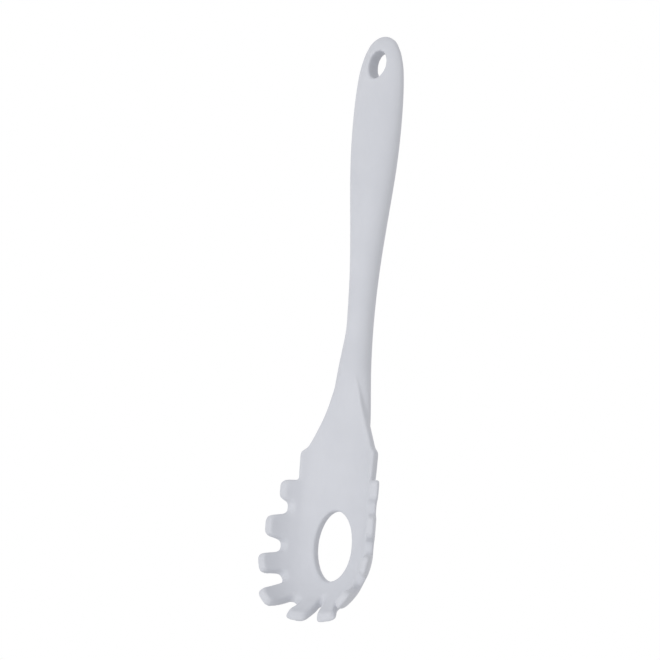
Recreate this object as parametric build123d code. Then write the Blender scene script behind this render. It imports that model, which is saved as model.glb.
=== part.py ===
from build123d import *
from math import acos, cos, degrees, radians, sin
import os

# The origin is the middle of the hang hole. The handle runs down the Z axis and the bowl opens towards -Y.
# Lengths are in millimetres and angles in degrees.

# Handle, measured at the hang hole, at the widest of the grip and at the neck
crown_height = 16.6
crown_width = 27.6
crown_thickness = 10.3
grip_width = 31.2
grip_thickness = 15.8
neck_drop = 145.0
neck_width = 15.6
neck_thickness = 12.5

# Blend, where the neck flattens out into the floor of the head
blend_length = 83.0
blend_width = 34.0
blend_thickness = 3.0
blend_lift = 5.15

# Bowl, a trough with a round lower end
bowl_drop = 262.8
floor_front = 7.5
floor_half_width = 9.6
wall = 4.7
turn_radius = 24.3
wall_angle = 75.0
end_stretch_share = 1.05
rim_height = 26.0

# Outline of the head seen from the front
plate_rise = 100.0
flare_drop = 45.7
flare_root = 3.0
flare_half_width = 20.4
shoulder_half_width = 23.6
shoulder_step = 2.6
shoulder_round = 2.5
first_tine_rise = 36.5
outline_reach = 60.0

# Tines and the gaps between them
tine_height = 22.0
gap_root = 5.8
gap_mouth = 10.2
gap_reach = 14.6
tip_round = 3.4
root_round = 2.6
rim_round = 1.0
sharp_angle = 25.0
upper_gap_rise = 21.4
middle_gap_rise = 1.0
lower_gap_angle = 30.9
end_gap_angle = 62.0
first_tine_foot = 4.6
first_tine_reach = 8.0

# Holes
hang_width = 11.3
hang_height = 15.7
hole_round = 0.8
drain_width = 24.6
drain_height = 36.9
drain_rise = 2.2

# Core inside the skin
skin = 2.0
plate_skin = 1.35
core_end_thickness = 1.2
core_rim = 2.2
core_margin = 3.2

# How far every cutter runs past the surface it cuts
overrun = 30.0

# Shares of the crown height, crown width and crown thickness, from the top of the handle down to the hole
crown_rise_share = (1.0, 0.976, 0.928, 0.783, 0.584, 0.386, 0.193, 0.0)
crown_width_share = (0.08, 0.196, 0.341, 0.587, 0.739, 0.859, 0.935, 1.0)
crown_thickness_share = (0.08, 0.194, 0.330, 0.583, 0.767, 0.874, 0.951, 1.0)

# Shares of the neck drop with how much of the swell from crown to grip, or from neck to grip, is there
swell_drop_share = (0.055, 0.124, 0.207)
swell_width_share = (0.64, 0.944, 1.0)
swell_thickness_share = (0.31, 0.64, 0.89)
waist_drop_share = (0.310, 0.414, 0.517, 0.620, 0.724, 0.828, 0.930, 1.0)
waist_width_share = (0.955, 0.820, 0.615, 0.404, 0.210, 0.070, 0.005, 0.0)
waist_thickness_share = (1.0, 1.0, 0.85, 0.58, 0.30, 0.12, 0.0, 0.0)

# Shares of the blend length, widening, thinning and forward lift
blend_drop_share = (0.065, 0.245, 0.425, 0.604, 0.784, 1.0)
blend_width_share = (0.043, 0.217, 0.402, 0.592, 0.783, 1.0)
blend_thin_share = (-0.02, -0.09, 0.01, 0.242, 0.558, 1.0)
blend_lift_share = (0.068, 0.272, 0.35, 0.466, 0.641, 1.0)

# Shares of the flare drop and of the flare widening, down the edge of the head to its shoulder
flare_drop_share = (0.179, 0.376, 0.573, 0.770, 1.0)
flare_width_share = (0.197, 0.350, 0.503, 0.716, 1.0)

# Shares of the tine height for the tips, from the first tine to the last, and for the gap bottoms
tip_share = (0.377, 0.627, 0.759, 1.0, 0.67)
gap_bottom_share = (0.210, 0.273, 0.307, 0.336, 0.165)


def oval(width, thickness, lift, z):
    level = Plane(origin=(0, -lift, z), x_dir=(1, 0, 0), z_dir=(0, 0, 1))
    back = Edge.make_ellipse(width / 2, thickness / 2, plane=level, start_angle=0, end_angle=180)
    front = Edge.make_ellipse(width / 2, thickness / 2, plane=level, start_angle=180, end_angle=360)
    return Face(Wire([back, front]))


def mix(low, high, share):
    return low + (high - low) * share


# Handle, a stack of ovals from a tiny one at the top to a thin one buried in the floor of the head
def handle_loft(inset, end_thickness):
    crown_w = crown_width - 2 * inset
    crown_t = crown_thickness - 2 * inset
    grip_w = grip_width - 2 * inset
    grip_t = grip_thickness - 2 * inset
    neck_w = neck_width - 2 * inset
    neck_t = neck_thickness - 2 * inset
    end_w = blend_width - 2 * inset
    top = crown_height - inset
    ovals = []
    for rise, width, thick in zip(crown_rise_share, crown_width_share, crown_thickness_share):
        ovals.append(oval(crown_w * width, crown_t * thick, 0, top * rise))
    for drop, width, thick in zip(swell_drop_share, swell_width_share, swell_thickness_share):
        ovals.append(oval(mix(crown_w, grip_w, width), mix(crown_t, grip_t, thick), 0, -neck_drop * drop))
    for drop, width, thick in zip(waist_drop_share, waist_width_share, waist_thickness_share):
        ovals.append(oval(mix(neck_w, grip_w, width), mix(neck_t, grip_t, thick), 0, -neck_drop * drop))
    for drop, width, thin, lift in zip(blend_drop_share, blend_width_share, blend_thin_share, blend_lift_share):
        z = -neck_drop - blend_length * drop
        ovals.append(oval(mix(neck_w, end_w, width), mix(neck_t, end_thickness, thin), blend_lift * lift, z))
    return loft(ovals)


# Half of the trough's section, floor, turn and leaning side, between two depths below the inner face
def half_section(depth, thickness, height):
    lean = radians(wall_angle)
    inner = turn_radius + depth
    outer = inner + thickness

    def on_turn(radius, angle):
        return (floor_half_width + radius * sin(angle), radius * cos(angle) - turn_radius)

    def on_side(radius):
        x, y = on_turn(radius, lean)
        return (x + (height + y) * cos(lean) / sin(lean), -height)

    middle = [(0, depth), on_turn(inner, 0)]
    bottom = [on_turn(outer, 0), (0, depth + thickness)]
    edges = [
        Edge.make_line(middle[0], middle[1]),
        Edge.make_three_point_arc(middle[1], on_turn(inner, lean / 2), on_turn(inner, lean)),
        Edge.make_line(on_turn(inner, lean), on_side(inner)),
        Edge.make_line(on_side(inner), on_side(outer)),
        Edge.make_line(on_side(outer), on_turn(outer, lean)),
        Edge.make_three_point_arc(on_turn(outer, lean), on_turn(outer, lean / 2), bottom[0]),
        Edge.make_line(bottom[0], bottom[1]),
        Edge.make_line(bottom[1], middle[0]),
    ]
    return Face(Wire(edges))


# Trough with its round lower end, in the head's own frame: bowl middle at the origin, floor in the plane y = 0
def trough(depth, thickness):
    half = half_section(depth, thickness, rim_height)
    right = extrude(half, amount=plate_rise, dir=(0, 0, 1))
    end = revolve(half, Axis((0, 0, 0), (0, 1, 0)), 180)
    end = scale(end, by=(1, 1, end_stretch_share))
    return right + mirror(right, Plane.YZ) + end


# Front outline of the head: flare, shoulder, then open below the top of the first tine
def head_outline(inset):
    half = shoulder_half_width - inset
    tine_top = first_tine_rise - inset
    flare = [Vector(flare_root, 0, plate_rise)]
    for drop, width in zip(flare_drop_share, flare_width_share):
        x = mix(flare_root, flare_half_width - inset, width)
        flare.append(Vector(x, 0, plate_rise - flare_drop * drop))
    shoulder_z = plate_rise - flare_drop - shoulder_step
    low_z = -outline_reach
    corners = [
        Vector(half, 0, shoulder_z),
        Vector(half, 0, tine_top),
        Vector(outline_reach, 0, tine_top),
        Vector(outline_reach, 0, low_z),
        Vector(0, 0, low_z),
        Vector(0, 0, plate_rise),
        flare[0],
    ]
    edges = [Edge.make_spline(flare)]
    start = flare[-1]
    for corner in corners:
        edges.append(Edge.make_line(start, corner))
        start = corner
    face = Face(Wire(edges))
    rounded = [v for v in face.vertices() if shoulder_z <= v.Z <= shoulder_z + shoulder_step and v.X > flare_root]
    face = face.fillet_2d(shoulder_round, rounded)
    prism = extrude(face, amount=outline_reach, dir=(0, 1, 0), both=True)
    return prism + mirror(prism, Plane.YZ)


# Cutter for one gap: it clears the space above both tips beside it and the gap between them
def gap_cutter(angle, rise, tip_above, tip_below, bottom):
    out = Vector(cos(radians(angle)), 0, sin(radians(angle)))
    along = Vector(-sin(radians(angle)), 0, cos(radians(angle)))
    top = rim_height + overrun
    points = [
        (-gap_reach, top),
        (-gap_reach, tip_below),
        (-gap_mouth / 2, tip_below),
        (-gap_root / 2, bottom),
        (gap_root / 2, bottom),
        (gap_mouth / 2, tip_above),
        (gap_reach, tip_above),
        (gap_reach, top),
    ]
    face = Face(Wire.make_polygon(points, close=True))
    tips = face.vertices().filter_by(lambda v: abs(abs(v.X) - gap_mouth / 2) < tip_round / overrun)
    face = face.fillet_2d(tip_round, tips)
    roots = face.vertices().sort_by(Axis.Y)[:2]
    face = face.fillet_2d(root_round, roots)
    stand = Plane(origin=(0, 0, rise), x_dir=along, z_dir=out)
    return extrude(stand * face, amount=outline_reach + overrun, dir=out)


# Cutter that lowers the head's side above the first tine and rounds that tine's upper corner
def first_tine_cutter():
    top = rim_height + overrun
    tip = tine_height * tip_share[0]
    far = plate_rise - first_tine_rise + overrun
    points = [
        (-first_tine_reach, top),
        (-first_tine_reach, tip),
        (0, tip),
        (0, first_tine_foot),
        (far, first_tine_foot),
        (far, top),
    ]
    face = Face(Wire.make_polygon(points, close=True))
    corner = face.vertices().filter_by(lambda v: abs(v.X) < tip_round / overrun).sort_by(Axis.Y)[-1]
    face = face.fillet_2d(tip_round, [corner])
    stand = Plane(origin=(0, 0, first_tine_rise), x_dir=(0, 0, 1), z_dir=(1, 0, 0))
    return extrude(stand * face, amount=outline_reach + overrun, dir=(1, 0, 0), both=True)


# Rounding of every edge that is sharper than the named angle, apart from the plate's buried top end
def round_edges(shape, radius):
    sides = {}
    for face in shape.faces():
        for edge in face.edges():
            sides.setdefault(edge, []).append(face)
    rims = []
    for edge, faces in sides.items():
        middle = edge @ 0.5
        if len(faces) != 2 or middle.Z > plate_rise - radius:
            continue
        turn = faces[0].normal_at(middle).dot(faces[1].normal_at(middle))
        if degrees(acos(max(-1.0, min(1.0, turn)))) > sharp_angle:
            rims.append(edge)
    return fillet(rims, radius)


# Head with its ten tines, in its own frame
def tined_head():
    head = trough(0, wall) & head_outline(0)
    tips = [tine_height * share for share in tip_share]
    bottoms = [tine_height * share for share in gap_bottom_share]
    angles = (0, 0, -lower_gap_angle, -end_gap_angle)
    rises = (upper_gap_rise, middle_gap_rise, 0, 0)
    for i, angle in enumerate(angles):
        cutter = gap_cutter(angle, rises[i], tips[i], tips[i + 1], bottoms[i])
        head = head - cutter - mirror(cutter, Plane.YZ)
    head = head - gap_cutter(-90, 0, tips[-1], tips[-1], bottoms[-1])
    return round_edges(head - first_tine_cutter(), rim_round)


# Head frame to part frame
def seat(shape):
    return Pos(0, -floor_front, -bowl_drop) * shape


def oval_cutter(width, height, rise):
    level = Plane(origin=(0, overrun, rise), x_dir=(1, 0, 0), z_dir=(0, -1, 0))
    face = Face(Wire([Edge.make_ellipse(width / 2, height / 2, plane=level)]))
    return extrude(face, amount=2 * overrun, dir=(0, -1, 0))


# Rounding of the two rims of an oval hole
def round_hole(shape, width, height, rise):
    def on_rim(edge):
        x = (edge @ 0.5).X * 2 / width
        z = ((edge @ 0.5).Z - rise) * 2 / height
        return abs(x * x + z * z - 1) < hole_round / width and edge.geom_type != GeomType.LINE

    return fillet(shape.edges().filter_by(on_rim), hole_round)


# Whole body as the skin's outer surface
def body():
    head = tined_head() - oval_cutter(drain_width, drain_height, drain_rise)
    head = round_hole(head, drain_width, drain_height, drain_rise)
    handle = handle_loft(0, blend_thickness) - oval_cutter(hang_width, hang_height, 0)
    return round_hole(handle, hang_width, hang_height, 0) + seat(head)


# Core: the handle's loft drawn in by the skin, and a thin dished plate inside the floor of the head
def core():
    plate = trough(plate_skin, wall - 2 * plate_skin) & head_outline(core_margin)
    keep = Pos(0, -core_rim + rim_height, 0) * Box(2 * outline_reach, 2 * rim_height, 2 * plate_rise + overrun)
    plate = plate & keep
    shape = handle_loft(skin, core_end_thickness) + seat(plate)
    shape = shape - oval_cutter(hang_width + 2 * skin, hang_height + 2 * skin, 0)
    return shape - seat(oval_cutter(drain_width + 2 * skin, drain_height + 2 * skin, drain_rise))


os.makedirs("parts", exist_ok=True)
nylon_core = core()
silicone_skin = body() - nylon_core
export_step(nylon_core, "parts/nylon_core.step")
export_step(silicone_skin, "parts/silicone_skin.step")
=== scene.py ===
import math

import bmesh
import bpy
from mathutils import Matrix, Vector


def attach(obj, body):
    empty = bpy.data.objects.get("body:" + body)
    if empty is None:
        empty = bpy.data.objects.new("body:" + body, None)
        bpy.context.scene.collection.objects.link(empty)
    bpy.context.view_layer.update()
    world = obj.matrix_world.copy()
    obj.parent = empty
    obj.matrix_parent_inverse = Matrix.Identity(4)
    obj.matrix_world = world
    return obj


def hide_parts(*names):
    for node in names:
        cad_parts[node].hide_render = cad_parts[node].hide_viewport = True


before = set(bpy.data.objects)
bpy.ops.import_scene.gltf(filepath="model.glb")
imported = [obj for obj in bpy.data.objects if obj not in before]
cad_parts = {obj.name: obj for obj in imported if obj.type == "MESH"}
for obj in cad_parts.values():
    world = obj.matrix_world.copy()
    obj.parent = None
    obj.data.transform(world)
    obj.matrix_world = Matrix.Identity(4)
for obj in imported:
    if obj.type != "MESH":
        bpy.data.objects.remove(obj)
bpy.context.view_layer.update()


# The silicone skin is the whole utensil as it is seen and held: handle, neck, dished head and tines, in one shot of
# pale grey silicone moulded round the nylon core. The steel mould is bead-blasted, so the silicone comes out matt,
# with a fine even grain, a faint cloudiness in its colour and a soft sheen where it turns away.
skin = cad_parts["silicone_skin"]
bowl_middle = -0.2628
weld_distance = 0.000001

# Heights along the handle between which the wider shoulders begin, and between which the flare above them ends
shoulder_spread = 0.05
shoulder_foot = (-0.2275, -0.2245)
flare_top = (-0.195, -0.165)

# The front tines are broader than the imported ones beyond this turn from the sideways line, and above this height
front_tine_spread = 0.30
front_tine_reach = 0.03
front_tine_turn = (math.radians(56), math.radians(66))
front_tine_height = (0.0140, 0.0222)

# The gap between the front tines is narrower by this share, from its bottom up
middle_gap_narrowing = 0.40
middle_gap_turn = (math.radians(74), math.radians(84))
middle_gap_height = (0.009, 0.013)

# Rims are smoothed this many times on the whole skin, and more often on the tines and the outer edges of the head
skin_mesh = 0.0006
softening_strength = 0.5
rim_softening = 7
edge_softening = 12
edge_reach = (0.014, 0.020)

silicone_greys = ((0.592, 0.606, 0.652, 1), (0.625, 0.638, 0.684, 1))
silicone_roughness = 0.62
silicone_index = 1.41
sheen = 0.08
sheen_roughness = 0.4
light_let_in = 0.04
light_depth = (0.0014, 0.0013, 0.0012)
clouds_per_metre = 38.0
cloud_detail = 3.0
cloud_edges = (0.3, 0.7)
grains_per_metre = 2600.0
grain_strength = 0.12
grain_depth = 0.0001


def smooth_step(value, low, high):
    share = min(1, max(0, (value - low) / (high - low)))
    return share * share * (3 - 2 * share)


# The outside of the skin without the pocket round the core: all that joins its highest point
def keep_outer_skin(form):
    bmesh.ops.remove_doubles(form, verts=form.verts, dist=weld_distance)
    top = max(form.verts, key=lambda point: point.co.z)
    outside = {top}
    reached = [top]
    while reached:
        point = reached.pop()
        for edge in point.link_edges:
            other = edge.other_vert(point)
            if other not in outside:
                outside.add(other)
                reached.append(other)
    bmesh.ops.delete(form, geom=[point for point in form.verts if point not in outside], context="VERTS")


def spread_shoulders(form):
    for point in form.verts:
        share = smooth_step(point.co.z, *shoulder_foot) * (1 - smooth_step(point.co.z, *flare_top))
        point.co.x *= 1 + shoulder_spread * share


def broaden_front_tines(form):
    for point in form.verts:
        turn = math.atan2(bowl_middle - point.co.z, abs(point.co.x))
        share = smooth_step(turn, *front_tine_turn) * smooth_step(-point.co.y, *front_tine_height)
        beside_gap = smooth_step(turn, *middle_gap_turn) * smooth_step(-point.co.y, *middle_gap_height)
        point.co.x *= (1 + front_tine_spread * share) * (1 - middle_gap_narrowing * beside_gap)
        point.co.z += (point.co.z - bowl_middle) * front_tine_reach * share


# The two edges of each rim run into one soft round, as silicone comes out of its mould
def soften_rims(piece):
    remesh = piece.modifiers.new("even_mesh", "REMESH")
    remesh.mode = "VOXEL"
    remesh.voxel_size = skin_mesh
    remesh.use_smooth_shade = True
    even = piece.evaluated_get(bpy.context.evaluated_depsgraph_get())
    piece.data = bpy.data.meshes.new_from_object(even)
    piece.modifiers.clear()

    edges = piece.vertex_groups.new(name="tines_and_edges")
    for point in piece.data.vertices:
        reach = math.hypot(point.co.x, min(0, point.co.z - bowl_middle))
        edges.add([point.index], smooth_step(reach, *edge_reach), "REPLACE")
    for name, times, group in (("soft_rims", rim_softening, ""), ("soft_edges", edge_softening, edges.name)):
        softening = piece.modifiers.new(name, "SMOOTH")
        softening.factor = softening_strength
        softening.iterations = times
        softening.vertex_group = group


def plain_finish(name, roughness):
    finish = bpy.data.materials.new(name)
    finish.use_nodes = True
    surface = finish.node_tree.nodes["Principled BSDF"]
    surface.inputs["Roughness"].default_value = roughness
    return finish, surface


def speckle(finish, place, per_metre, detail):
    noise = finish.node_tree.nodes.new("ShaderNodeTexNoise")
    noise.inputs["Scale"].default_value = per_metre
    noise.inputs["Detail"].default_value = detail
    finish.node_tree.links.new(place.outputs["Object"], noise.inputs["Vector"])
    return noise


def tint_between(finish, surface, noise, tones, edges):
    tint = finish.node_tree.nodes.new("ShaderNodeValToRGB")
    for stop, tone, edge in zip(tint.color_ramp.elements, tones, edges):
        stop.position = edge
        stop.color = tone
    finish.node_tree.links.new(noise.outputs["Fac"], tint.inputs["Fac"])
    finish.node_tree.links.new(tint.outputs["Color"], surface.inputs["Base Color"])


def silicone_finish():
    finish, silicone = plain_finish("matt_grey_silicone", silicone_roughness)
    silicone.inputs["IOR"].default_value = silicone_index
    silicone.inputs["Sheen Weight"].default_value = sheen
    silicone.inputs["Sheen Roughness"].default_value = sheen_roughness
    silicone.inputs["Subsurface Weight"].default_value = light_let_in
    silicone.inputs["Subsurface Radius"].default_value = light_depth
    silicone.inputs["Subsurface Scale"].default_value = 1.0

    nodes = finish.node_tree.nodes
    place = nodes.new("ShaderNodeTexCoord")
    cloud = speckle(finish, place, clouds_per_metre, cloud_detail)
    tint_between(finish, silicone, cloud, silicone_greys, cloud_edges)

    grain = speckle(finish, place, grains_per_metre, 2.0)
    blasting = nodes.new("ShaderNodeBump")
    blasting.inputs["Strength"].default_value = grain_strength
    blasting.inputs["Distance"].default_value = grain_depth
    finish.node_tree.links.new(grain.outputs["Fac"], blasting.inputs["Height"])
    finish.node_tree.links.new(blasting.outputs["Normal"], silicone.inputs["Normal"])
    return finish


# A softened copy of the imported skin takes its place
form = bmesh.new()
form.from_mesh(skin.data)
keep_outer_skin(form)
spread_shoulders(form)
broaden_front_tines(form)
skin_shape = bpy.data.meshes.new("soft_silicone_skin")
form.to_mesh(skin_shape)
form.free()
soft_skin = bpy.data.objects.new("soft_silicone_skin", skin_shape)
bpy.context.scene.collection.objects.link(soft_skin)
soften_rims(soft_skin)
soft_skin.data.materials.append(silicone_finish())
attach(soft_skin, "root")
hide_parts("silicone_skin")


# The core is the stiff spine of glass-filled nylon that the silicone is moulded round. It is injection moulded
# first, in near black, and the silicone closes over it everywhere, so none of it shows.
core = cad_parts["nylon_core"]
nylon_blacks = ((0.020, 0.020, 0.022, 1), (0.034, 0.034, 0.037, 1))
nylon_roughness = 0.5
fibres_per_metre = 900.0


def nylon_finish():
    finish, nylon = plain_finish("black_glass_filled_nylon", nylon_roughness)
    place = finish.node_tree.nodes.new("ShaderNodeTexCoord")
    glass_fibre = speckle(finish, place, fibres_per_metre, 2.0)
    tint_between(finish, nylon, glass_fibre, nylon_blacks, (0, 1))
    return finish


core.data.materials.clear()
core.data.materials.append(nylon_finish())


# The photographer's floor: a wide sheet of pale paper, well below the utensil, which hangs free as it does in the
# photograph. It isn't part of the object.
floor_height = -0.75
floor_half_side = 8.0
paper_white = (0.93, 0.93, 0.93, 1)
paper_roughness = 0.9

paper = bpy.data.meshes.new("pale_paper")
corners = [(x * floor_half_side, y * floor_half_side, floor_height) for x, y in ((-1, -1), (1, -1), (1, 1), (-1, 1))]
paper.from_pydata(corners, [], [(0, 1, 2, 3)])
floor = bpy.data.objects.new("pale_paper_floor", paper)
bpy.context.scene.collection.objects.link(floor)

paper_finish, paper_surface = plain_finish("pale_paper", paper_roughness)
paper_surface.inputs["Base Color"].default_value = paper_white
paper.materials.append(paper_finish)


# Soft studio light: an even white room, with one wide softbox in front of the utensil and a weaker one on its right.
# The room shows as plain white behind the utensil.
room_level = 0.70
white_level = 1.0
softboxes = (
    ("front_softbox", (-0.35, -2.0, -0.25), 0.8, 11.5),
    ("side_softbox", (1.9, -0.3, 0.5), 1.2, 2.0),
)
lit_point = Vector((0, 0, -0.15))

for name, place, side, watts in softboxes:
    lamp = bpy.data.lights.new(name, "AREA")
    lamp.shape = "SQUARE"
    lamp.size = side
    lamp.energy = watts
    box = bpy.data.objects.new(name, lamp)
    box.location = place
    box.rotation_euler = (lit_point - Vector(place)).to_track_quat("-Z", "Y").to_euler()
    bpy.context.scene.collection.objects.link(box)

room = bpy.data.worlds.new("white_room")
bpy.context.scene.world = room
room.use_nodes = True
room_nodes = room.node_tree.nodes
room_links = room.node_tree.links
room_nodes.clear()

ray = room_nodes.new("ShaderNodeLightPath")
shown = ray.outputs["Is Camera Ray"]
for kind in ("Is Glossy Ray", "Is Transmission Ray"):
    either_ray = room_nodes.new("ShaderNodeMath")
    either_ray.operation = "MAXIMUM"
    room_links.new(shown, either_ray.inputs[0])
    room_links.new(ray.outputs[kind], either_ray.inputs[1])
    shown = either_ray.outputs[0]

room_seen = room_nodes.new("ShaderNodeMixShader")
room_links.new(shown, room_seen.inputs["Fac"])
for socket, level in ((1, room_level), (2, white_level)):
    wall = room_nodes.new("ShaderNodeBackground")
    wall.inputs["Color"].default_value = (1, 1, 1, 1)
    wall.inputs["Strength"].default_value = level
    room_links.new(wall.outputs["Background"], room_seen.inputs[socket])
room_output = room_nodes.new("ShaderNodeOutputWorld")
room_links.new(room_seen.outputs["Shader"], room_output.inputs["Surface"])
bpy.context.scene.view_settings.view_transform = "Standard"


# The camera stands 1.4 m away, to the right of the open side and a little below the middle, and is tipped over
# slightly, as in the photograph. It points at a place on the handle's middle line, above the head.
photo_side = 660
camera_azimuth = math.radians(38.4)
camera_elevation = math.radians(-9)
camera_roll = math.radians(4.84)
camera_distance = 1.4
camera_target = Vector((0, 0, -0.144))
target_pixel = (359.8, 328.9)
pixels_per_metre = 1882
sensor_width = 36

right = Vector((math.cos(camera_azimuth), math.sin(camera_azimuth), 0))
up = Vector((
    -math.sin(camera_azimuth) * math.sin(camera_elevation),
    math.cos(camera_azimuth) * math.sin(camera_elevation),
    math.cos(camera_elevation),
))
back = right.cross(up)
rolled_right = right * math.cos(camera_roll) + up * math.sin(camera_roll)
rolled_up = back.cross(rolled_right)

lens = bpy.data.cameras.new("photo_camera")
lens.sensor_width = sensor_width
lens.lens = sensor_width * pixels_per_metre * camera_distance / photo_side
lens.shift_x = (photo_side / 2 - target_pixel[0]) / photo_side
lens.shift_y = (target_pixel[1] - photo_side / 2) / photo_side
camera = bpy.data.objects.new("photo_camera", lens)
camera_turn = Matrix((rolled_right, rolled_up, back)).transposed()
camera.matrix_world = Matrix.Translation(camera_target + back * camera_distance) @ camera_turn.to_4x4()
bpy.context.scene.collection.objects.link(camera)
bpy.context.scene.camera = camera
